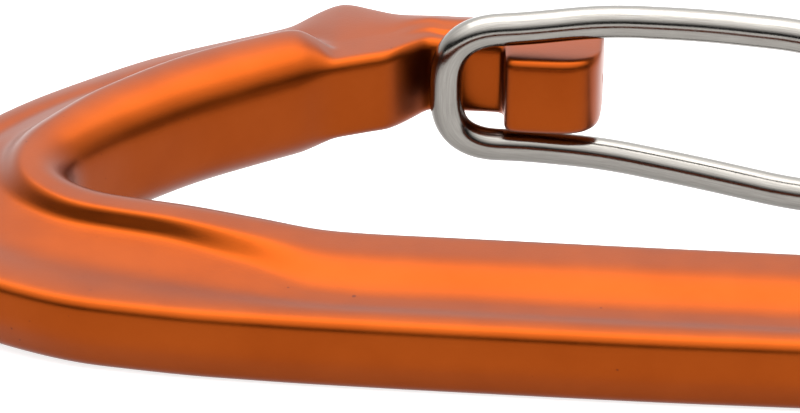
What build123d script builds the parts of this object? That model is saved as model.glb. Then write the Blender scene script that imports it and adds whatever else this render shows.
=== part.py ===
from build123d import *
from math import asin, cos, hypot, pi, radians, sin
import os

# A quickdraw lying flat: rope carabiner, stitched sling, bolt carabiner.
# Each carabiner is drawn level in its own plane: u runs from the basket toward
# the sling, v from the spine toward the gate, w through the thickness.
# The origin of that plane is the middle of the gate wire's end bar.

# ---- gate wire (stainless spring wire) ----
WIRE_DIA = 2.8
WIRE_R = WIRE_DIA / 2
PIVOT_U = 43.5
PIVOT_V = -6.0
PIN_TIP_W = 0.9
PIN_CLEARANCE = 0.1
LEG_HINGE_W = 5.5
LEG_SPREAD = (36.5, -4.1, 6.7)
LEG_BULGE = (30.0, -2.2, 7.5)
LEG_BULGE_START = (21.5, 0.0, 7.0)
LEG_KINK = (13.4, 1.4, 6.35)
LEG_WAIST = (6.6, 0.75, 5.6)
END_BAR_HALF = 5.3
WIRE_BENDS = [2.6, 2.5, 3.0, 3.0, 3.0, 1.9, 4.6]

# ---- forged body: nose ----
NOSE_HALF_W = 3.65
NECK_ROOT_U = -2.4
NECK_FACE_V = 1.8
NECK_CHAMFER_V = 4.0
NECK_FACE_HALF_W = 3.1
NOSE_BACK_V = 7.3
HEAD_START_U = 5.0
HEAD_END_U = 13.2
HOOK_V = -1.5
HEAD_OVERLAP = 2.0
HEAD_BACK_RISE = 0.1
HEAD_HALF_W = 3.5
HEAD_TIP_R = 3.0
HEAD_BACK_R = 2.0
NOSE_EDGE_R = 0.9

# ---- forged body: hinge end ----
HINGE_R = 5.0
HINGE_HALF_W = 3.8
HINGE_EDGE_R = 0.8

# ---- forged body: cross-sections ----
# Half of a section, measured from the rope side outward: length and drop of the
# rope-side rounding, crest height, end of the crest, foot of the step, height there,
# crease, height there, height at the outer edge.
NECK = (1.0, 0.9, 3.35, 1.4, 2.2, 3.6, 3.0, 3.75, 3.7)
PAD = (1.1, 1.1, 3.75, 2.4, 3.4, 3.75, 4.4, 3.75, 3.65)
ROPE_FAR = (4.2, 3.3, 5.4, 5.2, 6.9, 3.5, 8.0, 3.0, 2.75)
ROPE_END = (3.4, 3.1, 5.25, 4.3, 5.6, 3.5, 8.6, 2.8, 2.75)
ROPE_NEAR = (2.2, 2.8, 4.85, 3.9, 4.9, 3.4, 9.6, 2.7, 2.7)
SPINE = (0.9, 0.9, 3.75, 3.6, 8.0, 2.7, 9.6, 2.75, 2.7)
SLING_SEAT = (3.2, 2.6, 3.7, 4.0, 4.9, 3.55, 5.8, 3.4, 3.0)
HINGE_PAD = (1.2, 1.0, 3.8, 4.6, 5.6, 3.8, 6.8, 3.8, 3.6)
OUTER_ROUND = 1.25
LAND_CROWN = 0.12
ROUND_STEPS = (0.0, 0.3, 0.65)
OUTER_STEPS = (0.45, 0.8, 1.0)

# ---- sling ----
STRAP_W = 11.0
STRAP_T = 1.2
SLING_LENGTH = 120.0
EYE_R = 4.6
EYE_APEX = 16.0
SEAT_V = -20.5
SEAT_U = 54.3

# ---- keeper, stitching, label ----
KEEPER_LENGTH = 15.0
KEEPER_W = 13.0
KEEPER_WALL = 0.9
KEEPER_BAR_GAP = 0.3
TACK_LENGTH = 2.4
TACK_W = 9.4
TACK_T = 0.35
END_TACK_X = (30.5, 26.0)
SPLICE_TACK_X = (19.5, 16.0, -16.0, -19.5)
LABEL_LENGTH = 26.0
LABEL_T = 0.35

# ---- lying pose ----
LIE_TILT = 10.5
BAR_X = SLING_LENGTH / 2 - EYE_R - STRAP_T


def mix(first, second, share):
    """A section part-way between two others."""
    return tuple(a + (b - a) * share for a, b in zip(first, second))


def stations():
    """Inner point, outer point and section, from the neck round to the hinge."""
    return [
        ((-1.5, 1.7), (-1.5, 7.42), NECK),
        ((-2.8, 0.5), (-3.0, 7.45), mix(NECK, PAD, 0.7)),
        ((-4.3, -1.2), (-4.6, 7.6), PAD),
        ((-6.4, -2.45), (-7.0, 8.3), PAD),
        ((-9.0, -3.7), (-9.6, 9.0), PAD),
        ((-10.3, -4.6), (-12.0, 7.7), mix(PAD, ROPE_FAR, 0.5)),
        ((-11.6, -5.7), (-14.2, 5.6), mix(PAD, ROPE_FAR, 0.95)),
        ((-13.8, -7.3), (-17.2, 3.8), ROPE_FAR),
        ((-18.6, -11.0), (-24.2, -0.6), ROPE_FAR),
        ((-23.4, -15.7), (-31.3, -7.0), mix(ROPE_FAR, ROPE_END, 0.4)),
        ((-26.8, -20.2), (-38.0, -15.6), ROPE_END),
        ((-27.6, -23.4), (-40.7, -24.5), mix(ROPE_END, ROPE_NEAR, 0.4)),
        ((-26.0, -26.0), (-37.9, -34.3), mix(ROPE_END, ROPE_NEAR, 0.8)),
        ((-22.4, -27.5), (-30.6, -40.1), ROPE_NEAR),
        ((-17.0, -28.4), (-22.4, -42.4), ROPE_NEAR),
        ((-11.5, -29.5), (-13.5, -43.2), mix(ROPE_NEAR, SPINE, 0.35)),
        ((-6.0, -30.4), (-6.5, -43.4), mix(ROPE_NEAR, SPINE, 0.92)),
        ((2.0, -30.5), (2.0, -43.45), SPINE),
        ((16.0, -30.5), (16.0, -43.4), SPINE),
        ((30.0, -30.4), (30.0, -43.1), SPINE),
        ((40.0, -30.2), (42.0, -41.8), mix(SPINE, SLING_SEAT, 0.3)),
        ((46.8, -29.6), (51.6, -37.0), mix(SPINE, SLING_SEAT, 0.7)),
        ((49.8, -27.6), (57.2, -30.2), SLING_SEAT),
        ((50.3, -24.8), (58.3, -25.0), SLING_SEAT),
        ((50.3, -16.4), (58.3, -16.2), SLING_SEAT),
        ((49.8, -13.6), (57.2, -11.0), SLING_SEAT),
        ((47.2, -11.8), (53.0, -4.8), mix(SLING_SEAT, HINGE_PAD, 0.5)),
        ((43.6, -11.2), (46.8, -1.4), HINGE_PAD),
    ]


def half_section(depth, section):
    """Upper half of a section as (distance from the rope side, height) points."""
    rope_round, drop, crest, crest_end, step_foot, step_w, crease, crease_w, edge_w = section
    points = []
    for share in ROUND_STEPS:
        turn = share * pi / 2
        points.append((rope_round * (1 - cos(turn)), crest - drop * (1 - sin(turn))))
    points.append((rope_round, crest))
    points.append((crest_end, crest))
    points.append(((crest_end + step_foot) / 2, (crest + step_w) / 2))
    points.append((step_foot, step_w))
    points.append((crease, crease_w))
    strip_end = depth - OUTER_ROUND
    points.append(((crease + strip_end) / 2, (crease_w + edge_w) / 2 + LAND_CROWN))
    points.append((strip_end, edge_w))
    for share in OUTER_STEPS:
        turn = share * pi / 2
        points.append((strip_end + OUTER_ROUND * sin(turn), edge_w - OUTER_ROUND * (1 - cos(turn))))
    return points


def section_wire(inner, outer, section):
    """Closed outline of one section, standing across the ring."""
    depth = hypot(outer[0] - inner[0], outer[1] - inner[1])
    across = ((outer[0] - inner[0]) / depth, (outer[1] - inner[1]) / depth)
    upper = half_section(depth, section)
    lower = [(along, -w) for along, w in reversed(upper)]
    outline = [(0, 0)] + upper + [(depth, 0)] + lower
    corners = [Vector(inner[0] + across[0] * t, inner[1] + across[1] * t, w) for t, w in outline]
    return Wire.make_polygon(corners, close=True)


def plate(points, half_w, edge_r=0.0):
    """A level plate from plan corners, its rims rounded."""
    face = make_face(Polyline(*points, close=True))
    solid = Pos(0, 0, -half_w) * extrude(face, half_w * 2)
    if edge_r:
        rims = solid.edges().filter_by(Axis.Z, reverse=True)
        solid = fillet(rims, edge_r)
    return solid


def arc_points(centre, radius, start, end, count=6):
    """Plan points round an arc; angles in degrees."""
    turns = [radians(start + (end - start) * i / count) for i in range(count + 1)]
    return [(centre[0] + radius * cos(a), centre[1] + radius * sin(a)) for a in turns]


def neck():
    """The waist that the gate wire closes around."""
    half = [
        (NECK_FACE_V, 0),
        (NECK_FACE_V, NECK_FACE_HALF_W),
        (NECK_CHAMFER_V, NOSE_HALF_W),
        (NOSE_BACK_V - NOSE_EDGE_R, NOSE_HALF_W),
        (NOSE_BACK_V, NOSE_HALF_W - NOSE_EDGE_R),
        (NOSE_BACK_V, 0),
    ]
    outline = half + [(v, -w) for v, w in reversed(half[1:-1])]
    face = make_face(Polyline(*[(NECK_ROOT_U, v, w) for v, w in outline], close=True))
    return extrude(face, HEAD_START_U + HEAD_OVERLAP - NECK_ROOT_U, dir=(1, 0, 0))


def head():
    """The hooked end of the nose."""
    top_v = NOSE_BACK_V + HEAD_BACK_RISE
    corners = [(HEAD_START_U, top_v), (HEAD_START_U, HOOK_V)]
    tip = (HEAD_END_U - HEAD_TIP_R, HOOK_V + HEAD_TIP_R)
    corners += arc_points(tip, HEAD_TIP_R, -90, 0)
    back = (HEAD_END_U - HEAD_BACK_R, top_v - HEAD_BACK_R)
    corners += arc_points(back, HEAD_BACK_R, 0, 90)
    return plate(corners, HEAD_HALF_W, NOSE_EDGE_R)


def carabiner_body():
    """One forged body: ring, nose and drilled hinge end."""
    ring = Solid.make_loft([section_wire(*station) for station in stations()], ruled=False)
    hub = Cylinder(HINGE_R, HINGE_HALF_W * 2)
    hub = Pos(PIVOT_U, PIVOT_V, 0) * fillet(hub.edges().filter_by(GeomType.CIRCLE), HINGE_EDGE_R)
    bore = Pos(PIVOT_U, PIVOT_V, 0) * Cylinder(WIRE_R + PIN_CLEARANCE, HINGE_HALF_W * 3)
    return ring + hub + neck() + head() - bore


def bent_wire(corners, reaches):
    """Wire centreline: straight runs joined by a bend at each inner corner."""
    edges = []
    here = Vector(*corners[0])
    for i, reach in enumerate(reaches, start=1):
        before, corner, after = (Vector(*corners[k]) for k in (i - 1, i, i + 1))
        enter = corner + (before - corner).normalized() * reach
        leave = corner + (after - corner).normalized() * reach
        edges.append(Line(here, enter))
        edges.append(Bezier(enter, corner, leave))
        here = leave
    edges.append(Line(here, Vector(*corners[-1])))
    return Wire(edges)


def gate_wire():
    """One bent wire: two legs, an end bar at the nose, two turned-in hinge pins."""
    upper = [
        (PIVOT_U, PIVOT_V, PIN_TIP_W),
        (PIVOT_U, PIVOT_V, LEG_HINGE_W),
        LEG_SPREAD,
        LEG_BULGE,
        LEG_BULGE_START,
        LEG_KINK,
        LEG_WAIST,
        (0.0, 0.0, END_BAR_HALF),
    ]
    lower = [(u, v, -w) for u, v, w in reversed(upper)]
    path = bent_wire(upper + lower, WIRE_BENDS + WIRE_BENDS[::-1])
    profile = Plane(origin=path @ 0, z_dir=path % 0) * Circle(WIRE_R)
    return sweep(profile, path)


def strap_outline(grow):
    """Side view of the closed sling, its faces moved outward by grow."""
    radius = EYE_R + STRAP_T + grow
    half = STRAP_T + grow
    slope = asin(EYE_R / EYE_APEX)
    # where the outer tangent of an eye comes down to the flat strap
    touch = (BAR_X - radius * sin(slope), radius * cos(slope))
    run = (touch[1] - half) / (sin(slope) / cos(slope))
    upper = [(touch[0], touch[1]), (touch[0] - run, half)]
    corners = upper + [(-x, z) for x, z in reversed(upper)]
    corners += [(x, -z) for x, z in reversed(corners)]
    face = make_face(Polyline(*[(x, 0, z) for x, z in corners], close=True))
    return face, radius


def strap_solid(grow, width):
    """The strap and both eyes as a full shape, before the eyes are opened."""
    face, radius = strap_outline(grow)
    solid = Pos(0, SEAT_V + width / 2, 0) * extrude(face, width, dir=(0, -1, 0))
    for side in (-1, 1):
        solid += Pos(side * BAR_X, SEAT_V, 0) * Rot(90, 0, 0) * Cylinder(radius, width)
    return solid


def eye_hollow(side, width):
    """The teardrop space inside one eye."""
    slope = asin(EYE_R / EYE_APEX)
    touch = (BAR_X - EYE_R * sin(slope), EYE_R * cos(slope))
    corners = [(touch[0], 0, touch[1]), (BAR_X - EYE_APEX, 0, 0), (touch[0], 0, -touch[1])]
    corners.append((BAR_X, 0, 0))
    face = make_face(Polyline(*[(side * x, y, z) for x, y, z in corners], close=True))
    hollow = Pos(0, SEAT_V + width / 2, 0) * extrude(face, width, dir=(0, -1, 0))
    return hollow + Pos(side * BAR_X, SEAT_V, 0) * Rot(90, 0, 0) * Cylinder(EYE_R, width)


def webbing():
    """The sewn sling: a flat doubled strap with an open eye at each end."""
    return strap_solid(0, STRAP_W) - eye_hollow(-1, STRAP_W * 2) - eye_hollow(1, STRAP_W * 2)


def keeper(strap):
    """Moulded rubber collar that holds the rope carabiner in its eye."""
    front = -BAR_X + EYE_R
    sleeve = strap_solid(KEEPER_WALL, KEEPER_W)
    window = Pos(front + KEEPER_LENGTH / 2, SEAT_V, 0)
    window = window * Box(KEEPER_LENGTH, KEEPER_W * 2, KEEPER_W * 2)
    bar_room = Pos(-BAR_X, SEAT_V, 0) * Rot(90, 0, 0) * Cylinder(EYE_R + KEEPER_BAR_GAP, KEEPER_W * 2)
    return (sleeve & window) - strap - bar_room


def tack(x):
    """One bar tack: a thread pad on each face of the strap."""
    pads = []
    for side in (-1, 1):
        height = side * (STRAP_T + TACK_T / 2)
        pads.append(Pos(x, SEAT_V, height) * Box(TACK_LENGTH, TACK_W, TACK_T))
    return pads


def label():
    """Blank woven band sewn round the middle of the strap."""
    outer = Box(LABEL_LENGTH, STRAP_W + 2 * LABEL_T, (STRAP_T + LABEL_T) * 2)
    core = Box(LABEL_LENGTH * 2, STRAP_W, STRAP_T * 2)
    return Pos(0, SEAT_V, 0) * (outer - core)


def rope_side(shape):
    """From a carabiner's own plane to the rope end of the sling."""
    return Pos(-BAR_X - SEAT_U, 0, 0) * shape


def bolt_side(shape):
    """The mirrored carabiner at the bolt end."""
    return mirror(rope_side(shape), about=Plane.YZ)


def build_nodes():
    """Every node in the level pose, by name."""
    body = carabiner_body()
    gate = gate_wire()
    strap = webbing()
    return {
        "rope_carabiner_body": rope_side(body),
        "rope_gate_wire": rope_side(gate),
        "bolt_carabiner_body": bolt_side(body),
        "bolt_gate_wire": bolt_side(gate),
        "sling_webbing": strap,
        "rubber_keeper": keeper(strap),
        "bar_tacks_rope_end": Compound(children=[p for x in END_TACK_X for p in tack(-x)]),
        "bar_tacks_bolt_end": Compound(children=[p for x in END_TACK_X for p in tack(x)]),
        "bar_tacks_splice": Compound(children=[p for x in SPLICE_TACK_X for p in tack(x)]),
        "woven_label": label(),
    }


def lay_down(nodes):
    """Tip the whole draw onto its spines and gates and centre it on the floor."""
    tipped = {name: Rot(LIE_TILT, 0, 0) * shape for name, shape in nodes.items()}
    boxes = [shape.bounding_box() for shape in tipped.values()]
    near = min(box.min.Y for box in boxes)
    far = max(box.max.Y for box in boxes)
    floor = min(box.min.Z for box in boxes)
    shift = Pos(0, -(near + far) / 2, -floor)
    return {name: shift * shape for name, shape in tipped.items()}


os.makedirs("parts", exist_ok=True)
for node_name, node_shape in lay_down(build_nodes()).items():
    export_step(node_shape, f"parts/{node_name}.step")
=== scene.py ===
import math

import bmesh
import bpy
import numpy as np
from mathutils import Matrix, Vector


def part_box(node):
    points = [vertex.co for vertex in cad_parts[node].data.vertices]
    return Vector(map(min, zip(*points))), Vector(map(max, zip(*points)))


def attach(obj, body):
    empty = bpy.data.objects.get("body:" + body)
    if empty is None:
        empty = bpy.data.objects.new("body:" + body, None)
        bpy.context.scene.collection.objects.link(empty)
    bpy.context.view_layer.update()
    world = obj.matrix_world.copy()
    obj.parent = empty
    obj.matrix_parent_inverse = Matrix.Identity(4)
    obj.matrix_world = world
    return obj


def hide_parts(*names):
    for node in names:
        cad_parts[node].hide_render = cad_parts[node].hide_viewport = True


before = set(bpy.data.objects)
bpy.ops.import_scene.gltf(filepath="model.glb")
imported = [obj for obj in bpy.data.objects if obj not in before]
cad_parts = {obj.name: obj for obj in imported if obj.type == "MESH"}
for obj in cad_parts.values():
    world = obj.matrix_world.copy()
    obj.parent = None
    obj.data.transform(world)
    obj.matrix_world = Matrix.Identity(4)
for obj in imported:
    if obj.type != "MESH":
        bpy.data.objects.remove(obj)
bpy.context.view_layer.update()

# A quickdraw lying flat. Shapes are drawn in millimetres in each carabiner's own level
# plane: u from the basket toward the sling, v from the spine toward the gate, w through
# the thickness, with the origin at the middle of the gate wire's end bar.
MM = 0.001
LIE_TILT = math.radians(10.5)

# ---- sizes shared with the CAD model ----
WIRE_R = 1.4
PIVOT = (43.5, -6.0)
PIN_TIP_W = 0.9
LEG_HINGE_W = 5.5
LEG_SPREAD = (36.5, -4.1, 6.7)
LEG_BULGE = (30.0, -2.2, 7.5)
LEG_BULGE_START = (21.5, 0.0, 7.0)
LEG_KINK = (13.4, 1.4, 6.35)
LEG_WAIST = (6.6, 0.75, 5.6)
END_BAR_HALF = 5.3
WIRE_BENDS = [2.6, 2.5, 3.0, 3.0, 3.0, 1.9, 4.6]
HINGE_R = 5.0
STRAP_W = 11.0
STRAP_T = 1.2
EYE_R = 4.6
EYE_APEX = 16.0
SEAT_U = 54.3
SEAT_V = -20.5
BAR_X = 54.2
KEEPER_LENGTH = 15.0
KEEPER_W = 13.0
KEEPER_WALL = 0.9
TACK_LENGTH = 2.4
TACK_W = 9.4
END_TACK_X = (30.5, 26.0)
SPLICE_TACK_X = (19.5, 16.0)
LABEL_LENGTH = 26.0
LABEL_T = 0.35
KEEPER_BAR_GAP = 0.3

# The side of the sling a carabiner is on, along x.
ROPE, BOLT = -1, 1


# ---------------------------------------------------------------- placing

def lay_matrix():
    """From the level sling frame, in mm, to the row frame, in metres."""
    low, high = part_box("sling_webbing")
    middle = (low + high) / 2
    seat = Vector((0, SEAT_V * MM * math.cos(LIE_TILT), SEAT_V * MM * math.sin(LIE_TILT)))
    lift = Vector((0, middle.y, middle.z)) - seat
    return Matrix.Translation(lift) @ Matrix.Rotation(LIE_TILT, 4, "X") @ Matrix.Scale(MM, 4)


LAY = lay_matrix()


def to_level(points, side):
    """Carabiner plane to level sling frame; the bolt carabiner is mirrored."""
    level = np.array(points, float)
    level[..., 0] = (level[..., 0] - BAR_X - SEAT_U) * -side
    return level


def make_mesh(name, points, faces, uvs=None, flip=False):
    """An object from level-frame points, laid down into the row frame."""
    turn = np.array(LAY)
    placed = points @ turn[:3, :3].T + turn[:3, 3]
    if flip:
        faces = [tuple(reversed(f)) for f in faces]
    mesh = bpy.data.meshes.new(name)
    mesh.from_pydata([tuple(p) for p in placed], [], faces)
    if uvs is not None:
        layer = mesh.uv_layers.new(name="mm")
        corner = np.empty(len(mesh.loops), int)
        mesh.loops.foreach_get("vertex_index", corner)
        layer.data.foreach_set("uv", np.asarray(uvs, np.float32)[corner].ravel())
    mesh.validate()
    mesh.polygons.foreach_set("use_smooth", [True] * len(mesh.polygons))
    obj = bpy.data.objects.new(name, mesh)
    bpy.context.collection.objects.link(obj)
    return obj


def akima(knots, values, where):
    """Smooth curve through stations that doesn't swing past a sudden step."""
    slope = np.diff(values, axis=0) / np.diff(knots)[:, None]
    first = 2 * slope[0] - slope[1]
    last = 2 * slope[-1] - slope[-2]
    slope = np.vstack([2 * first - slope[0], first, slope, last, 2 * last - slope[-1]])
    change = np.abs(np.diff(slope, axis=0)) + 1e-6
    ahead, behind = change[2:], change[:-2]
    tangent = (ahead * slope[1:-2] + behind * slope[2:-1]) / (ahead + behind)
    span = np.clip(np.searchsorted(knots, where, side="right") - 1, 0, len(knots) - 2)
    width = (knots[span + 1] - knots[span])[:, None]
    t = ((where - knots[span]) / (knots[span + 1] - knots[span]))[:, None]
    return (
        (2 * t ** 3 - 3 * t ** 2 + 1) * values[span]
        + (t ** 3 - 2 * t ** 2 + t) * width * tangent[span]
        + (3 * t ** 2 - 2 * t ** 3) * values[span + 1]
        + (t ** 3 - t ** 2) * width * tangent[span + 1]
    )


# ---------------------------------------------------------------- forged bodies

# Half of a section, from the rope side outward: length and drop of the rope-side
# rounding, crest height, end of the crest, foot of the step, height there, crease,
# height there, height at the outer edge. The neck, basket and spine are a little fuller
# than in the CAD model, to allow for softening, and the basket's end has a gentler step.
PAD = (1.1, 1.1, 3.75, 2.4, 3.4, 3.75, 4.4, 3.75, 3.65)
ROPE_FAR = (4.2, 3.3, 5.4, 5.2, 6.9, 3.5, 8.0, 3.05, 2.85)
ROPE_END = (3.4, 3.1, 5.25, 3.9, 6.9, 3.35, 8.8, 2.8, 2.9)
ROPE_NEAR = (2.2, 2.8, 4.85, 3.9, 4.9, 3.4, 9.6, 2.7, 2.9)
SPINE = (0.9, 0.9, 3.75, 3.6, 8.0, 2.7, 9.6, 2.75, 2.9)
SLING_SEAT = (3.2, 2.6, 3.7, 4.0, 4.9, 3.55, 5.8, 3.4, 3.0)
HINGE_PAD = (1.2, 1.0, 3.8, 4.6, 5.6, 3.8, 6.8, 3.8, 3.6)
NECK = (1.0, 0.9, 3.4, 1.4, 2.2, 3.65, 3.0, 3.75, 3.7)

OUTER_ROUND = 1.05
FORGING_DRAFT = 0.4
LAND_CROWN = 0.12
RING_STEP = 0.3
SOFTEN_PASSES = 5
SLAB_EDGE = 0.9
HINGE_EDGE_SHARE = 0.97
# Turn round the pivot in degrees and half thickness there, thinning to the end.
HINGE_ROWS = ((25, 3.8), (45, 3.75), (62, 3.5), (74, 3.0), (81, 2.4))

# Limits that keep roundings and draft inside a thin section, as shares of its depth.
OUTER_ROUND_LIMIT = 0.4
ROPE_ROUND_LIMIT = 0.45
DRAFT_LIMIT = 0.05

# Points along each stretch of half a section, and on its two faces as shares of height.
ROPE_FACE_SHARES = (0.35, 0.7)
ROPE_ARC_POINTS = 12
CREST_POINTS = 6
STEP_POINTS = 10
SLOPE_POINTS = 7
LAND_POINTS = 7
OUTER_ARC_POINTS = 9
OUTER_FACE_SHARES = (0.33, 0.66)


def mix(first, second, share):
    """A section part-way between two others."""
    return tuple(a + (b - a) * share for a, b in zip(first, second))


def slab(half_w, depth, edge=SLAB_EDGE):
    """A flat section with rounded edges, for the hooked head and the hinge's end."""
    return (edge, edge, half_w, depth * 0.35, depth * 0.5, half_w, depth * 0.65, half_w, half_w)


def nose_stations():
    """Head tip, head, neck and shoulder: inner point, outer point, section."""
    return [
        ((13.2, 2.4), (13.2, 4.6), slab(2.4, 2.2)),
        ((13.17, 1.7), (13.18, 5.4), slab(2.95, 3.7)),
        ((12.95, 0.7), (12.98, 6.1), slab(3.4, 5.4)),
        ((12.4, -0.3), (12.5, 6.75), slab(3.45, 7.0)),
        ((11.4, -1.1), (11.7, 7.15), slab(3.5, 8.2)),
        ((10.0, -1.45), (10.6, 7.3), slab(3.5, 8.7)),
        ((8.2, -1.5), (8.6, 7.3), slab(3.5, 8.8)),
        ((6.2, -1.5), (6.6, 7.3), slab(3.5, 8.8)),
        ((5.4, -1.4), (5.9, 7.32), slab(3.5, 8.7)),
        ((5.05, -1.05), (5.5, 7.34), slab(3.45, 8.4)),
        ((4.93, -0.3), (5.2, 7.35), mix(slab(3.3, 7.6), NECK, 0.3)),
        ((4.9, 0.8), (5.0, 7.36), mix(slab(3.2, 6.6), NECK, 0.7)),
        ((4.7, 1.5), (4.75, 7.37), NECK),
        ((4.1, 1.65), (4.1, 7.4), NECK),
        ((1.6, 1.65), (1.6, 7.4), NECK),
        ((-0.6, 1.65), (-0.6, 7.4), NECK),
        ((-1.5, 1.75), (-1.5, 7.42), mix(NECK, PAD, 0.2)),
        ((-2.7, 0.6), (-2.9, 7.45), mix(NECK, PAD, 0.7)),
        ((-4.1, -1.0), (-4.4, 7.5), PAD),
        ((-4.9, -1.75), (-5.4, 7.65), PAD),
        ((-6.4, -2.45), (-7.2, 8.3), PAD),
        ((-9.0, -3.7), (-9.6, 9.0), PAD),
    ]


def ring_stations():
    """Basket, spine and sling seat, from the nose block round to the hinge."""
    return [
        ((-10.3, -4.6), (-12.0, 7.7), mix(PAD, ROPE_FAR, 0.5)),
        ((-11.6, -5.7), (-14.2, 5.6), mix(PAD, ROPE_FAR, 0.95)),
        ((-13.8, -7.3), (-17.2, 3.8), ROPE_FAR),
        ((-18.6, -11.0), (-24.2, -0.6), ROPE_FAR),
        ((-23.4, -15.7), (-31.3, -7.0), mix(ROPE_FAR, ROPE_END, 0.4)),
        ((-26.8, -20.2), (-38.0, -15.6), ROPE_END),
        ((-27.6, -23.4), (-40.7, -24.5), mix(ROPE_END, ROPE_NEAR, 0.4)),
        ((-26.0, -26.0), (-37.9, -34.3), mix(ROPE_END, ROPE_NEAR, 0.8)),
        ((-22.4, -27.5), (-30.6, -40.1), ROPE_NEAR),
        ((-17.0, -28.4), (-22.4, -42.4), ROPE_NEAR),
        ((-11.5, -29.5), (-13.5, -43.2), mix(ROPE_NEAR, SPINE, 0.35)),
        ((-6.0, -30.4), (-6.5, -43.4), mix(ROPE_NEAR, SPINE, 0.92)),
        ((2.0, -30.5), (2.0, -43.45), SPINE),
        ((16.0, -30.5), (16.0, -43.4), SPINE),
        ((30.0, -30.4), (30.0, -43.1), SPINE),
        ((40.0, -30.2), (42.0, -41.8), mix(SPINE, SLING_SEAT, 0.3)),
        ((46.8, -29.6), (51.6, -37.0), mix(SPINE, SLING_SEAT, 0.7)),
        ((49.8, -27.6), (57.2, -30.2), SLING_SEAT),
        ((50.3, -24.8), (58.3, -25.0), SLING_SEAT),
        ((50.3, -20.5), (58.3, -20.5), SLING_SEAT),
        ((50.3, -16.4), (58.3, -16.2), SLING_SEAT),
        ((49.8, -13.6), (57.2, -11.0), SLING_SEAT),
        ((47.2, -11.8), (53.0, -4.8), mix(SLING_SEAT, HINGE_PAD, 0.5)),
        ((43.6, -11.2), (46.8, -1.4), HINGE_PAD),
    ]


def hinge_stations():
    """The rounded end that carries the pivot."""
    ends = []
    for turn, half_w in HINGE_ROWS:
        a = math.radians(turn)
        along, across = HINGE_R * math.sin(a), HINGE_R * math.cos(a)
        inner = (PIVOT[0] - along, PIVOT[1] - across)
        outer = (PIVOT[0] - along * HINGE_EDGE_SHARE, PIVOT[1] + across)
        ends.append((inner, outer, slab(half_w, 2 * across)))
    return ends


def ring_rows():
    """Stations eased into closely spaced rows: inner point, outer point, section."""
    stations = nose_stations() + ring_stations() + hinge_stations()
    values = np.array([[*inner, *outer, *section] for inner, outer, section in stations])
    middles = (values[:, 0:2] + values[:, 2:4]) / 2
    reach = np.linalg.norm(np.diff(values[:, 0:2], axis=0), axis=1)
    reach = reach + np.linalg.norm(np.diff(middles, axis=0), axis=1)
    knots = np.concatenate([[0], np.cumsum(reach / 2)])
    count = int(knots[-1] / RING_STEP)
    return akima(knots, values, np.linspace(0, knots[-1], count))


def smooth_step(t):
    return t * t * (3 - 2 * t)


def half_section(depth, section):
    """Upper half of a section as rows of (distance from the rope side, height)."""
    rope_round, drop, crest, crest_end, foot, foot_w, crease, crease_w, edge_w = section
    out_round = min(OUTER_ROUND, depth * OUTER_ROUND_LIMIT)
    rope_round = min(rope_round, depth * ROPE_ROUND_LIMIT)
    crest_end = max(crest_end, rope_round)
    points = [(0, (crest - drop) * share) for share in ROPE_FACE_SHARES]
    for turn in np.linspace(0, math.pi / 2, ROPE_ARC_POINTS)[:-1]:
        along = rope_round * (1 - math.cos(turn))
        points.append((along, crest - drop * (1 - math.sin(turn))))
    for share in np.linspace(0, 1, CREST_POINTS)[:-1]:
        points.append((rope_round + (crest_end - rope_round) * share, crest))
    for share in np.linspace(0, 1, STEP_POINTS)[:-1]:
        along = crest_end + (foot - crest_end) * share
        points.append((along, crest + (foot_w - crest) * smooth_step(share)))
    for share in np.linspace(0, 1, SLOPE_POINTS)[:-1]:
        points.append((foot + (crease - foot) * share, foot_w + (crease_w - foot_w) * share))
    draft = min(FORGING_DRAFT, depth * DRAFT_LIMIT)
    strip_end = depth - out_round - draft
    for share in np.linspace(0, 1, LAND_POINTS)[:-1]:
        along = crease + (strip_end - crease) * share
        crown = LAND_CROWN * math.sin(math.pi * share)
        points.append((along, crease_w + (edge_w - crease_w) * share + crown))
    for turn in np.linspace(0, math.pi / 2, OUTER_ARC_POINTS):
        along = strip_end + out_round * math.sin(turn)
        points.append((along, edge_w - out_round * (1 - math.cos(turn))))
    for share in OUTER_FACE_SHARES:
        points.append((depth - draft * (1 - share), (edge_w - out_round) * (1 - share)))
    return points


def soften(grid, passes):
    """Relaxes a tube of rows so that forged edges are eased, ends kept."""
    for _ in range(passes):
        around = np.roll(grid, 1, axis=1) + np.roll(grid, -1, axis=1)
        along = grid[:-2] + grid[2:]
        grid[1:-1] = grid[1:-1] * 0.5 + around[1:-1] * 0.125 + along * 0.125
    return grid


def body_grid():
    """Rows of points round the whole forging, nose tip to hinge."""
    grid = []
    for row in ring_rows():
        inner, outer, section = row[0:2], row[2:4], row[4:]
        depth = np.linalg.norm(outer - inner)
        across = (outer - inner) / depth
        upper = half_section(depth, section)
        lower = [(t, -w) for t, w in reversed(upper[1:])]
        outline = upper + [(depth, 0)] + lower
        grid.append([(*(inner + across * t), w) for t, w in outline])
    return soften(np.array(grid), SOFTEN_PASSES)


def tube_faces(rows, around, closed=False):
    """Quads over a grid of rows; closed joins the last row to the first."""
    faces = []
    for r in range(rows if closed else rows - 1):
        here, there = r * around, (r + 1) % rows * around
        for k in range(around):
            n = (k + 1) % around
            faces.append((here + k, here + n, there + n, there + k))
    return faces


def cap_faces(start, around, flip):
    """Closes a tube's end with quads from its upper half to its lower half."""
    faces = []
    half = around // 2
    for k in range(half):
        opposite, after = (around - k) % around, around - k - 1
        ring = [start + k, start + k + 1, start + after, start + opposite]
        ring = list(dict.fromkeys(ring))
        if len(ring) > 2:
            faces.append(tuple(reversed(ring)) if flip else tuple(ring))
    return faces


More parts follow.
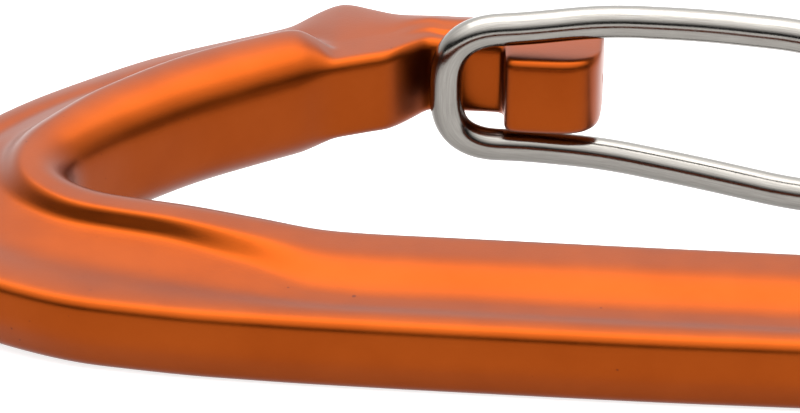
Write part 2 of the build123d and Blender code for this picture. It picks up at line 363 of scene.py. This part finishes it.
def carabiner_body(name, side):
    """One forged body as a single smooth skin."""
    grid = body_grid()
    rows, around = grid.shape[:2]
    faces = tube_faces(rows, around)
    faces += cap_faces(0, around, True)
    faces += cap_faces((rows - 1) * around, around, False)
    points = to_level(grid.reshape(-1, 3), side)
    return make_mesh(name, points, faces, flip=side == BOLT)


# ---------------------------------------------------------------- gate wires

WIRE_SIDES = 40
WIRE_STEP = 0.35
BEND_POINTS = 24


def bent_path(corners, reaches, step):
    """Centreline of a bent wire, evenly spaced, each corner eased by a bend."""
    corners = [np.array(c, float) for c in corners]
    path = [corners[0]]
    for before, corner, after, reach in zip(corners, corners[1:], corners[2:], reaches):
        enter = corner + (before - corner) / np.linalg.norm(before - corner) * reach
        leave = corner + (after - corner) / np.linalg.norm(after - corner) * reach
        for s in np.linspace(0, 1, BEND_POINTS):
            path.append(enter * (1 - s) ** 2 + corner * 2 * s * (1 - s) + leave * s ** 2)
    path.append(corners[-1])
    path = np.array(path)
    run = np.concatenate([[0], np.cumsum(np.linalg.norm(np.diff(path, axis=0), axis=1))])
    even = np.linspace(0, run[-1], int(run[-1] / step))
    return np.stack([np.interp(even, run, path[:, k]) for k in range(3)], 1)


def sweep_tube(path, radii, sides, start_side):
    """Rings of points along a path, carried without twist, with mm UVs."""
    tangents = np.gradient(path, axis=0)
    tangents /= np.linalg.norm(tangents, axis=1)[:, None]
    normal = np.array(start_side, float)
    turns = np.linspace(0, 2 * math.pi, sides, endpoint=False)
    rings, uvs = [], []
    run = 0.0
    for i, (point, tangent) in enumerate(zip(path, tangents)):
        normal = normal - tangent * normal.dot(tangent)
        normal /= np.linalg.norm(normal)
        other = np.cross(tangent, normal)
        if i:
            run += np.linalg.norm(path[i] - path[i - 1])
        ring = np.outer(np.cos(turns), normal) + np.outer(np.sin(turns), other)
        rings.append(point + ring * radii[i])
        uvs.append([(turn * radii[i], run) for turn in turns])
    return np.array(rings), np.array(uvs)


def gate_wire(name, side):
    """One bent wire with its pins turned in at the hinge."""
    upper = [
        (*PIVOT, PIN_TIP_W),
        (*PIVOT, LEG_HINGE_W),
        LEG_SPREAD,
        LEG_BULGE,
        LEG_BULGE_START,
        LEG_KINK,
        LEG_WAIST,
        (0.0, 0.0, END_BAR_HALF),
    ]
    lower = [(u, v, -w) for u, v, w in reversed(upper)]
    path = bent_path(upper + lower, WIRE_BENDS + WIRE_BENDS[::-1], WIRE_STEP)
    rings, uvs = sweep_tube(path, [WIRE_R] * len(path), WIRE_SIDES, (0, 1, 0))
    faces = tube_faces(len(path), WIRE_SIDES)
    faces.append(tuple(range(WIRE_SIDES))[::-1])
    faces.append(tuple(range((len(path) - 1) * WIRE_SIDES, len(path) * WIRE_SIDES)))
    points = to_level(rings.reshape(-1, 3), side)
    return make_mesh(name, points, faces, uvs.reshape(-1, 2), flip=side == BOLT)


# ---------------------------------------------------------------- sling

BAND_STEP = 0.4
BAND_EASE = 14
EYE_POINTS = 60
STRAP_FACE_POINTS = 30
SELVEDGE_POINTS = 12

THREAD_R = 0.17
THREAD_PITCH = 0.5
THREAD_SIDES = 8
THREAD_STEP = 0.22
# The thread's middle above the cloth, in thread radii, and its bends, in pitches.
THREAD_LIFT = 0.45
THREAD_BEND = 0.3

# Between the strap and the inside of the keeper or the label.
COLLAR_GAP = 0.02
KEEPER_CORNER = 2.0
KEEPER_BORE_CORNER = 0.7
KEEPER_LIP = 0.4
KEEPER_ROWS = 90
KEEPER_RIBS = 4
KEEPER_RIB_DEPTH = 0.22
# A small power makes wide ribs with narrow grooves, kept off the collar's plain ends.
RIB_POWER = 0.35
RIB_START, RIB_END = 0.06, 0.94

WEB_COLUMNS = 40
WEB_LEVELS = 15
WEB_POINT_GAP = 0.6
WEB_SIDE_GAP = 0.3

LABEL_ROWS = 60
LABEL_END_GAP = 0.15
LABEL_LIP = 0.14
LABEL_HEM_LENGTH = 1.6
LABEL_HEM_RISE = 0.1
LABEL_CORNER = 0.85
LABEL_BORE_CORNER = 0.6
EYE_SLOPE = math.asin(EYE_R / EYE_APEX)


def face_out(obj):
    """Turns every face of a closed piece outward."""
    shell = bmesh.new()
    shell.from_mesh(obj.data)
    bmesh.ops.recalc_face_normals(shell, faces=shell.faces)
    shell.to_mesh(obj.data)
    shell.free()
    return obj


def strap_line():
    """Middle of the strap's thickness, once round both eyes: (x, height), evenly spaced."""
    radius = EYE_R + STRAP_T / 2
    round_end = np.linspace(math.pi / 2 + EYE_SLOPE, -math.pi / 2 - EYE_SLOPE, EYE_POINTS)
    loop = [(BAR_X + radius * math.cos(a), radius * math.sin(a)) for a in round_end]
    loop.append((BAR_X - EYE_APEX, -STRAP_T / 2))
    loop = [(BAR_X - EYE_APEX, STRAP_T / 2)] + loop
    loop += [(-x, -height) for x, height in loop]
    loop = np.array(loop + loop[:1])
    run = np.concatenate([[0], np.cumsum(np.linalg.norm(np.diff(loop, axis=0), axis=1))])
    even = np.linspace(0, run[-1], int(run[-1] / BAND_STEP), endpoint=False)
    line = np.stack([np.interp(even, run, loop[:, k]) for k in range(2)], 1)
    for _ in range(BAND_EASE):
        line = line * 0.5 + (np.roll(line, 1, axis=0) + np.roll(line, -1, axis=0)) * 0.25
    return line


def strap_section():
    """Round the strap's section: (across, out), with rolled selvedges."""
    half, thick = STRAP_W / 2 - STRAP_T / 2, STRAP_T / 2
    top = [(across, thick) for across in np.linspace(-half, half, STRAP_FACE_POINTS)]
    turns = np.linspace(math.pi / 2, -math.pi / 2, SELVEDGE_POINTS)[1:-1]
    edge = [(half + thick * math.cos(a), thick * math.sin(a)) for a in turns]
    bottom = [(-across, -out) for across, out in top]
    far_edge = [(-across, -out) for across, out in edge]
    return np.array(top + edge + bottom + far_edge)


def webbing_band():
    """One closed loop of flat webbing, laid double along the middle."""
    line, section = strap_line(), strap_section()
    ahead = np.roll(line, -1, axis=0) - np.roll(line, 1, axis=0)
    ahead /= np.linalg.norm(ahead, axis=1)[:, None]
    rows, uvs = [], []
    for i, ((x, height), (dx, dz)) in enumerate(zip(line, ahead)):
        out_x, out_z = -dz, dx
        for across, out in section:
            rows.append((x + out_x * out, SEAT_V + across, height + out_z * out))
            uvs.append((across, i * BAND_STEP))
    faces = tube_faces(len(line), len(section), closed=True)
    return face_out(make_mesh("sling_webbing_band", np.array(rows), faces, uvs))


def thread_zigzag(x, side):
    """Corners of one bar tack's thread on one face of the strap."""
    height = side * (STRAP_T + THREAD_R * THREAD_LIFT)
    count = int(TACK_W / THREAD_PITCH)
    reach = TACK_LENGTH / 2 - THREAD_R
    corners = []
    for i in range(2 * count + 1):
        across = SEAT_V - TACK_W / 2 + i * THREAD_PITCH / 2
        corners.append((x + (reach if i % 2 else -reach), across, height))
    return corners


def bar_tacks(name, places):
    """A group of bar tacks as raised zigzag thread on both faces."""
    points, faces = [], []
    for x in places:
        for side in (-1, 1):
            corners = thread_zigzag(x, side)
            bends = [THREAD_PITCH * THREAD_BEND] * (len(corners) - 2)
            path = bent_path(corners, bends, THREAD_STEP)
            rings, _ = sweep_tube(path, [THREAD_R] * len(path), THREAD_SIDES, (0, 0, 1))
            start = len(points)
            points += list(rings.reshape(-1, 3))
            faces += [tuple(start + k for k in f) for f in tube_faces(len(path), THREAD_SIDES)]
            faces.append(tuple(range(start, start + THREAD_SIDES)))
            faces.append(tuple(range(len(points) - THREAD_SIDES, len(points))))
    return face_out(make_mesh(name, np.array(points), faces))


def rounded_frame(half_w, half_h, corner, count=7):
    """A rounded rectangle round the strap: (across, height)."""
    corner = min(corner, half_w, half_h)
    frame_line = []
    for cw, ch, start in ((1, 1, 0), (-1, 1, 90), (-1, -1, 180), (1, -1, 270)):
        for turn in np.linspace(start, start + 90, count):
            a = math.radians(turn)
            across = cw * (half_w - corner) + corner * math.cos(a)
            frame_line.append((across, ch * (half_h - corner) + corner * math.sin(a)))
    return frame_line


def sleeve(stations):
    """A collar along x: outer rows out and inner rows back, (x, half_w, half_h, corner)."""
    points, uvs = [], []
    for x, half_w, half_h, corner in stations:
        run = 0.0
        before = None
        for across, height in rounded_frame(half_w, half_h, corner):
            if before is not None:
                run += math.hypot(across - before[0], height - before[1])
            before = (across, height)
            points.append((x, SEAT_V + across, height))
            uvs.append((run, x))
    around = len(points) // len(stations)
    faces = tube_faces(len(stations), around, closed=True)
    return points, faces, uvs


def strap_top(x):
    """Outer height of the sling's upper ply at x, between the eyes' ends."""
    from_bar = BAR_X - abs(x)
    ply = STRAP_T / math.cos(EYE_SLOPE)
    return max(STRAP_T, (EYE_APEX - from_bar) * math.tan(EYE_SLOPE) + ply)


def lip(start, end, reach, count=6):
    """Half-turn from one station to the other, rounding a collar's end by reach along x."""
    x = start[0]
    turned = []
    for share in np.linspace(0, 1, count)[1:-1]:
        bulge = math.sin(math.pi * share) * reach
        blend = (1 - math.cos(math.pi * share)) / 2
        sizes = [a + (b - a) * blend for a, b in zip(start[1:], end[1:])]
        turned.append((x + bulge, *sizes))
    return turned


def keeper_collar():
    """Moulded rubber collar with shallow ribs, and the web that fills the eye's throat."""
    front = -BAR_X + EYE_R + KEEPER_LIP
    back = -BAR_X + EYE_R + KEEPER_LENGTH - KEEPER_LIP
    outer, inner = [], []
    for share in np.linspace(0, 1, KEEPER_ROWS):
        x = front + (back - front) * share
        rib = abs(math.sin(math.pi * share * KEEPER_RIBS)) ** RIB_POWER
        groove = KEEPER_RIB_DEPTH * (1 - rib) if RIB_START < share < RIB_END else 0.0
        top = strap_top(x)
        outer.append((x, KEEPER_W / 2 - groove, top + KEEPER_WALL - groove, KEEPER_CORNER))
        inner.append((x, STRAP_W / 2 + COLLAR_GAP, top + COLLAR_GAP, KEEPER_BORE_CORNER))
    inner.reverse()
    back_lip = lip(outer[-1], inner[0], KEEPER_LIP)
    front_lip = lip(inner[-1], outer[0], -KEEPER_LIP)
    stations = outer + back_lip + inner + front_lip
    points, faces, uvs = sleeve(stations)
    web_points, web_faces, web_uvs = throat_web()
    start = len(points)
    points += web_points
    uvs += web_uvs
    faces += [tuple(start + k for k in f) for f in web_faces]
    return face_out(make_mesh("rubber_keeper_collar", np.array(points), faces, uvs))


def throat_web():
    """The wedge of rubber between the plies, hollowed to clear the bar."""
    clear = EYE_R + KEEPER_BAR_GAP
    columns, rows = WEB_COLUMNS, WEB_LEVELS
    points, uvs = [], []
    for column in range(columns):
        along = column / (columns - 1)
        for row in range(rows):
            level = 2 * row / (rows - 1) - 1
            throat = (EYE_APEX - EYE_R) * math.tan(EYE_SLOPE) * level
            start = max(EYE_R, math.sqrt(clear ** 2 - throat ** 2))
            from_bar = start + (EYE_APEX - WEB_POINT_GAP - start) * along
            height = (EYE_APEX - from_bar) * math.tan(EYE_SLOPE) * level
            points.append((from_bar - BAR_X, height))
            uvs.append((from_bar, height))
    flat = len(points)
    half = STRAP_W / 2 - WEB_SIDE_GAP
    faces = []
    for column in range(columns - 1):
        for row in range(rows - 1):
            a = column * rows + row
            quad = (a, a + 1, a + rows + 1, a + rows)
            faces.append(quad)
            faces.append(tuple(k + flat for k in reversed(quad)))
    rim = list(range(rows)) + [c * rows + rows - 1 for c in range(1, columns)]
    rim += [(columns - 1) * rows + row for row in range(rows - 2, -1, -1)]
    rim += [c * rows for c in range(columns - 2, 0, -1)]
    for k, here in enumerate(rim):
        there = rim[(k + 1) % len(rim)]
        faces.append((here, there, there + flat, here + flat))
    sides = (SEAT_V - half, SEAT_V + half)
    solid = [(x, across, height) for across in sides for x, height in points]
    return solid, faces, uvs + uvs


def label_band():
    """Blank woven tape round the middle of the strap, its ends turned under."""
    half = LABEL_LENGTH / 2 - LABEL_END_GAP
    cloth = LABEL_T - LABEL_HEM_RISE
    outer, inner = [], []
    for x in np.linspace(-half, half, LABEL_ROWS):
        hem = LABEL_HEM_RISE if half - abs(x) < LABEL_HEM_LENGTH else 0.0
        outer.append((x, STRAP_W / 2 + cloth + hem, STRAP_T + cloth + hem, LABEL_CORNER))
        inner.append((x, STRAP_W / 2 + COLLAR_GAP, STRAP_T + COLLAR_GAP, LABEL_BORE_CORNER))
    inner.reverse()
    far_lip = lip(outer[-1], inner[0], LABEL_LIP)
    near_lip = lip(inner[-1], outer[0], -LABEL_LIP)
    stations = outer + far_lip + inner + near_lip
    points, faces, uvs = sleeve(stations)
    return face_out(make_mesh("blank_woven_label", np.array(points), faces, uvs))


# ---------------------------------------------------------------- materials

YARN_ACROSS = 0.62
YARN_ALONG = 0.42
YARN_GAP_SHARE = 0.16
WORN_YARN_GAIN = 1.35


def new_material(name):
    mat = bpy.data.materials.new(name)
    mat.use_nodes = True
    return mat, mat.node_tree.nodes, mat.node_tree.links, mat.node_tree.nodes["Principled BSDF"]


def add_noise(nodes, links, source, scale, detail=3.0, rough=0.5):
    noise = nodes.new("ShaderNodeTexNoise")
    noise.inputs["Scale"].default_value = scale
    noise.inputs["Detail"].default_value = detail
    noise.inputs["Roughness"].default_value = rough
    links.new(source, noise.inputs["Vector"])
    return noise.outputs["Fac"]


def ramp(nodes, links, source, stops):
    """A colour ramp from (position, grey or colour) stops."""
    node = nodes.new("ShaderNodeValToRGB")
    links.new(source, node.inputs["Fac"])
    elements = node.color_ramp.elements
    while len(elements) < len(stops):
        elements.new(0.5)
    for element, (position, value) in zip(elements, stops):
        element.position = position
        colour = (value,) * 3 if isinstance(value, float) else value
        element.color = (*colour, 1.0)
    return node.outputs["Color"]


def scalar_ramp(nodes, links, source, low, high, start=0.0, end=1.0):
    """A number that runs from low to high as source runs from start to end."""
    node = nodes.new("ShaderNodeMapRange")
    links.new(source, node.inputs["Value"])
    node.inputs["From Min"].default_value = start
    node.inputs["From Max"].default_value = end
    node.inputs["To Min"].default_value = low
    node.inputs["To Max"].default_value = high
    return node.outputs["Result"]


def mix_colour(nodes, links, share, first, second):
    node = nodes.new("ShaderNodeMix")
    node.data_type = "RGBA"
    links.new(share, node.inputs["Factor"])
    for socket, value in ((node.inputs["A"], first), (node.inputs["B"], second)):
        if isinstance(value, tuple):
            socket.default_value = (*value, 1.0)
        else:
            links.new(value, socket)
    return node.outputs["Result"]


def add_bump(nodes, links, height, strength, distance, normal=None):
    node = nodes.new("ShaderNodeBump")
    node.inputs["Strength"].default_value = strength
    node.inputs["Distance"].default_value = distance
    links.new(height, node.inputs["Height"])
    if normal is not None:
        links.new(normal, node.inputs["Normal"])
    return node.outputs["Normal"]


def orange_anodised():
    """Satin orange anodising over a blasted forging: fine grain, small pits, soft mottling."""
    mat, nodes, links, shader = new_material("orange_anodised_satin")
    place = nodes.new("ShaderNodeTexCoord").outputs["Object"]
    mottle = add_noise(nodes, links, place, 180.0, 4.0, 0.55)
    grain = add_noise(nodes, links, place, 5200.0, 2.0, 0.6)
    pits = add_noise(nodes, links, place, 1500.0, 1.0, 0.4)
    tones = [(0.3, (0.165, 0.027, 0.0012)), (0.7, (0.190, 0.033, 0.0020))]
    colour = ramp(nodes, links, mottle, tones)
    pit_share = scalar_ramp(nodes, links, pits, 0.0, 1.0, 0.79, 0.83)
    colour = mix_colour(nodes, links, pit_share, colour, (0.09, 0.015, 0.003))
    links.new(colour, shader.inputs["Base Color"])
    links.new(scalar_ramp(nodes, links, mottle, 0.30, 0.37, 0.3, 0.7), shader.inputs["Roughness"])
    normal = add_bump(nodes, links, grain, 0.18, 0.00003)
    links.new(add_bump(nodes, links, mottle, 0.12, 0.0002, normal), shader.inputs["Normal"])
    shader.inputs["Metallic"].default_value = 1.0
    shader.inputs["Coat Weight"].default_value = 0.05
    shader.inputs["Coat Roughness"].default_value = 0.32
    return mat


def drawn_steel():
    """Bright stainless wire with faint drawing lines along it."""
    mat, nodes, links, shader = new_material("drawn_stainless_wire")
    uv = nodes.new("ShaderNodeUVMap").outputs["UV"]
    stretch = nodes.new("ShaderNodeMapping")
    stretch.inputs["Scale"].default_value = (9.0, 0.35, 1.0)
    links.new(uv, stretch.inputs["Vector"])
    lines = add_noise(nodes, links, stretch.outputs["Vector"], 1.0, 4.0, 0.65)
    grain = add_noise(nodes, links, uv, 7.0, 3.0, 0.7)
    colour = ramp(nodes, links, lines, [(0.3, (0.150, 0.140, 0.128)), (0.7, (0.205, 0.195, 0.180))])
    links.new(colour, shader.inputs["Base Color"])
    links.new(scalar_ramp(nodes, links, grain, 0.10, 0.19, 0.3, 0.7), shader.inputs["Roughness"])
    normal = add_bump(nodes, links, lines, 0.10, 0.00004)
    links.new(add_bump(nodes, links, grain, 0.12, 0.00003, normal), shader.inputs["Normal"])
    shader.inputs["Metallic"].default_value = 1.0
    return mat


def weave(nodes, links, uv, across, along):
    """Staggered yarn pattern: 1 on a yarn, 0 in the gaps."""
    brick = nodes.new("ShaderNodeTexBrick")
    links.new(uv, brick.inputs["Vector"])
    brick.inputs["Scale"].default_value = 1.0
    brick.inputs["Brick Width"].default_value = across
    brick.inputs["Row Height"].default_value = along
    brick.inputs["Mortar Size"].default_value = along * YARN_GAP_SHARE
    brick.inputs["Mortar Smooth"].default_value = 1.0
    brick.inputs["Color1"].default_value = (1, 1, 1, 1)
    brick.inputs["Color2"].default_value = (0.75, 0.75, 0.75, 1)
    brick.inputs["Mortar"].default_value = (0, 0, 0, 1)
    return brick.outputs["Color"]


def stripe(nodes, links, coordinate, places, width):
    """1 inside narrow stripes at the given places, 0 outside."""
    total = None
    for place in places:
        gap = nodes.new("ShaderNodeMath")
        gap.operation = "COMPARE"
        links.new(coordinate, gap.inputs[0])
        gap.inputs[1].default_value = place
        gap.inputs[2].default_value = width / 2
        if total is None:
            total = gap.outputs["Value"]
            continue
        either = nodes.new("ShaderNodeMath")
        either.operation = "MAXIMUM"
        links.new(total, either.inputs[0])
        links.new(gap.outputs["Value"], either.inputs[1])
        total = either.outputs["Value"]
    return total


def woven_cloth(name, yarn, gap, tracer, places, axis, width):
    """Flat weave in millimetre UVs with tracer stripes along one axis."""
    mat, nodes, links, shader = new_material(name)
    uv = nodes.new("ShaderNodeUVMap").outputs["UV"]
    split = nodes.new("ShaderNodeSeparateXYZ")
    links.new(uv, split.inputs["Vector"])
    yarns = weave(nodes, links, uv, YARN_ACROSS, YARN_ALONG)
    fuzz = add_noise(nodes, links, uv, 9.0, 4.0, 0.7)
    wear = add_noise(nodes, links, uv, 0.35, 3.0, 0.6)
    worn = tuple(min(1.0, c * WORN_YARN_GAIN) for c in yarn)
    base = ramp(nodes, links, wear, [(0.3, yarn), (0.7, worn)])
    tracers = stripe(nodes, links, split.outputs[axis], places, width)
    base = mix_colour(nodes, links, tracers, base, tracer)
    links.new(mix_colour(nodes, links, yarns, gap, base), shader.inputs["Base Color"])
    links.new(scalar_ramp(nodes, links, fuzz, 0.62, 0.88, 0.3, 0.7), shader.inputs["Roughness"])
    normal = add_bump(nodes, links, yarns, 0.8, 0.00012)
    links.new(add_bump(nodes, links, fuzz, 0.35, 0.00005, normal), shader.inputs["Normal"])
    shader.inputs["Sheen Weight"].default_value = 0.06
    shader.inputs["Sheen Roughness"].default_value = 0.5
    shader.inputs["Specular IOR Level"].default_value = 0.35
    return mat


def sewing_thread():
    """Bonded orange thread with a fine twist."""
    mat, nodes, links, shader = new_material("bonded_orange_thread")
    place = nodes.new("ShaderNodeTexCoord").outputs["Object"]
    twist = add_noise(nodes, links, place, 6000.0, 2.0, 0.6)
    tone = ramp(nodes, links, twist, [(0.3, (0.22, 0.045, 0.005)), (0.7, (0.34, 0.085, 0.012))])
    links.new(tone, shader.inputs["Base Color"])
    links.new(scalar_ramp(nodes, links, twist, 0.45, 0.65, 0.3, 0.7), shader.inputs["Roughness"])
    links.new(add_bump(nodes, links, twist, 0.5, 0.00006), shader.inputs["Normal"])
    shader.inputs["Sheen Weight"].default_value = 0.05
    return mat


def moulded_rubber():
    """Matt black rubber with a fine moulded grain and faint bloom."""
    mat, nodes, links, shader = new_material("black_moulded_rubber")
    place = nodes.new("ShaderNodeTexCoord").outputs["Object"]
    grain = add_noise(nodes, links, place, 3500.0, 3.0, 0.6)
    bloom = add_noise(nodes, links, place, 160.0, 4.0, 0.6)
    tone = ramp(nodes, links, bloom, [(0.3, (0.0045, 0.0045, 0.005)), (0.7, (0.009, 0.009, 0.0095))])
    links.new(tone, shader.inputs["Base Color"])
    links.new(scalar_ramp(nodes, links, bloom, 0.48, 0.66, 0.3, 0.7), shader.inputs["Roughness"])
    links.new(add_bump(nodes, links, grain, 0.25, 0.00005), shader.inputs["Normal"])
    return mat


def pale_floor():
    """White acrylic shooting table, lit softly from below."""
    mat, _, _, shader = new_material("pale_floor")
    shader.inputs["Base Color"].default_value = (0.42, 0.42, 0.42, 1)
    shader.inputs["Emission Color"].default_value = (1, 1, 1, 1)
    shader.inputs["Emission Strength"].default_value = 0.8
    shader.inputs["Roughness"].default_value = 0.7
    shader.inputs["Specular IOR Level"].default_value = 0.1
    return mat


# ---------------------------------------------------------------- studio

CAMERA_AT = (19.36, -237.45, 125.92)
CAMERA_AIM = (-1.92, -20.39, 0.0)
SENSOR_MM = 36.0
LENS_MM = 142.8
CLIP_NEAR, CLIP_FAR = 0.02, 20.0
SKY_STRENGTH = 4.4
FRONT_SKY = [(0.0, 0.005), (0.24, 0.01), (0.42, 0.32), (0.60, 0.66), (0.85, 1.0)]
BACK_SKY = [(0.0, 0.38), (0.45, 0.46), (0.68, 0.56), (0.86, 1.0)]
SKY_BLEND = 0.35
OVERHEAD_AT = (-0.1, 0.05, 0.9)
OVERHEAD_AIM = (-0.1, 0.0, 0.0)
OVERHEAD_SIZE = (1.2, 0.7)
OVERHEAD_WATTS = 7.0
FLOOR_HALF = 4.0


def make_camera():
    """A long lens at the nose of the rope carabiner, a little above its plane."""
    eye = Vector(to_level(CAMERA_AT, ROPE))
    aim = Vector(to_level(CAMERA_AIM, ROPE))
    data = bpy.data.cameras.new("camera")
    data.sensor_width = SENSOR_MM
    data.lens = LENS_MM
    data.clip_start = CLIP_NEAR
    data.clip_end = CLIP_FAR
    camera = bpy.data.objects.new("camera", data)
    bpy.context.collection.objects.link(camera)
    turn = (aim - eye).to_track_quat("-Z", "Y").to_matrix().to_4x4()
    tilt = Matrix.Rotation(LIE_TILT, 4, "X")
    camera.matrix_world = Matrix.Translation(LAY @ eye) @ (tilt @ turn)
    bpy.context.scene.camera = camera


def area_light(name, place, aim, size, watts):
    data = bpy.data.lights.new(name, "AREA")
    data.shape = "RECTANGLE"
    data.size, data.size_y = size
    data.energy = watts
    light = bpy.data.objects.new(name, data)
    light.location = place
    light.rotation_mode = "QUATERNION"
    light.rotation_quaternion = (Vector(aim) - Vector(place)).to_track_quat("-Z", "Y")
    bpy.context.collection.objects.link(light)


def make_world():
    """A pale studio: bright overhead, grey behind, dark low down on the viewer's side."""
    world = bpy.data.worlds.new("studio")
    world.use_nodes = True
    bpy.context.scene.world = world
    nodes, links = world.node_tree.nodes, world.node_tree.links
    background = nodes["Background"]
    toward = nodes.new("ShaderNodeTexCoord").outputs["Generated"]
    split = nodes.new("ShaderNodeSeparateXYZ")
    links.new(toward, split.inputs["Vector"])
    front = ramp(nodes, links, split.outputs["Z"], FRONT_SKY)
    back = ramp(nodes, links, split.outputs["Z"], BACK_SKY)
    behind = scalar_ramp(nodes, links, split.outputs["Y"], 0.0, 1.0, -SKY_BLEND, SKY_BLEND)
    links.new(mix_colour(nodes, links, behind, front, back), background.inputs["Color"])
    background.inputs["Strength"].default_value = SKY_STRENGTH


def make_floor():
    mesh = bpy.data.meshes.new("floor")
    turns = ((-1, -1), (1, -1), (1, 1), (-1, 1))
    corners = [(x * FLOOR_HALF, y * FLOOR_HALF, 0) for x, y in turns]
    mesh.from_pydata(corners, [], [(0, 1, 2, 3)])
    floor = bpy.data.objects.new("floor", mesh)
    bpy.context.collection.objects.link(floor)
    floor.data.materials.append(pale_floor())


def make_studio():
    make_floor()
    make_world()
    area_light("overhead", OVERHEAD_AT, OVERHEAD_AIM, OVERHEAD_SIZE, OVERHEAD_WATTS)
    bpy.context.scene.view_settings.view_transform = "Standard"


# ---------------------------------------------------------------- assembly

def finish_piece(obj, material, body, slot, *nodes):
    obj.data.materials.append(material)
    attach(obj, body)
    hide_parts(*nodes)


def make_sling():
    """Webbing, keeper, stitching and label, all riding on the sling."""
    cloth = woven_cloth(
        "charcoal_webbing", (0.011, 0.012, 0.014), (0.0015, 0.0015, 0.002),
        (0.24, 0.050, 0.006), (-3.9, 3.9), "X", 0.9,
    )
    tape = woven_cloth(
        "plain_label_tape", (0.155, 0.150, 0.140), (0.05, 0.048, 0.045),
        (0.20, 0.045, 0.005), (-11.2, 11.2), "Y", 0.7,
    )
    thread = sewing_thread()
    finish_piece(webbing_band(), cloth, "sling", "webbing", "sling_webbing")
    finish_piece(keeper_collar(), moulded_rubber(), "sling", "black_rubber", "rubber_keeper")
    finish_piece(label_band(), tape, "sling", "label", "woven_label")
    groups = {
        "rope_end": [-x for x in END_TACK_X],
        "bolt_end": list(END_TACK_X),
        "splice": [side * x for side in (-1, 1) for x in SPLICE_TACK_X],
    }
    for group, places in groups.items():
        tacks = bar_tacks(f"{group}_tack_threads", places)
        finish_piece(tacks, thread, "sling", "thread", f"bar_tacks_{group}")


def main():
    make_camera()
    make_studio()
    orange, steel = orange_anodised(), drawn_steel()
    for side, end in ((ROPE, "rope"), (BOLT, "bolt")):
        body = carabiner_body(f"{end}_forged_body", side)
        finish_piece(body, orange, f"{end}_carabiner", "orange_anodised", f"{end}_carabiner_body")
        wire = gate_wire(f"{end}_wire_gate", side)
        finish_piece(wire, steel, f"{end}_gate", "steel_wire", f"{end}_gate_wire")
    make_sling()


main()
